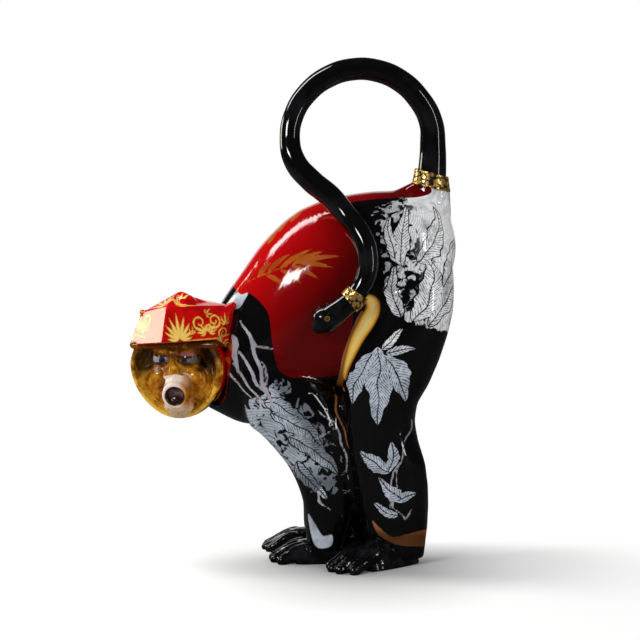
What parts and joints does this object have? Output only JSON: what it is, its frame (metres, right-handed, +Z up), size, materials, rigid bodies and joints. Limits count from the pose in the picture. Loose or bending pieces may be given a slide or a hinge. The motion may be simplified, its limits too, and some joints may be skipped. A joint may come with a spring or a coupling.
{
  "type": "monkey figurine",
  "caption": "Glazed porcelain monkey on all fours with arched back, turned head in a peaked cap, and a long tail curled up into a loop.",
  "frame": {"origin": "on the ground under the middle of the whole figure", "axes": "+Z up, the figure looks along -X, and its left side, the one in the picture, is -Y"},
  "size_m": [0.2236, 0.13, 0.3452],
  "materials": {
    "body_glaze": "glossy deep red glaze with black and grey ground",
    "limb_glaze": "glossy black glaze",
    "hand_glaze": "glossy black glaze",
    "ruff_glaze": "glossy mustard glaze",
    "face_glaze": "glossy mottled mustard and brown glaze",
    "muzzle_glaze": "glossy pale pink glaze",
    "eye_glaze": "glossy pale glaze with dark iris",
    "cap_glaze": "glossy red glaze with gilt leaves",
    "tail_glaze": "glossy black glaze",
    "gilding": "burnished gilding on a relief band"
  },
  "bodies": {
    "root": {"torso": "body_glaze", "left_arm": "limb_glaze", "right_arm": "limb_glaze", "left_hand": "hand_glaze", "right_hand": "hand_glaze", "left_hind_leg": "limb_glaze", "right_hind_leg": "limb_glaze", "left_foot": "hand_glaze", "right_foot": "hand_glaze", "head_shell": "ruff_glaze", "face_mask": "face_glaze", "muzzle": "muzzle_glaze", "left_eye": "eye_glaze", "right_eye": "eye_glaze", "cap": "cap_glaze", "tail": "tail_glaze", "tail_root_collar": "gilding", "tail_end_collar": "gilding", "tail_bud": "tail_glaze"}
  },
  "joints": []
}
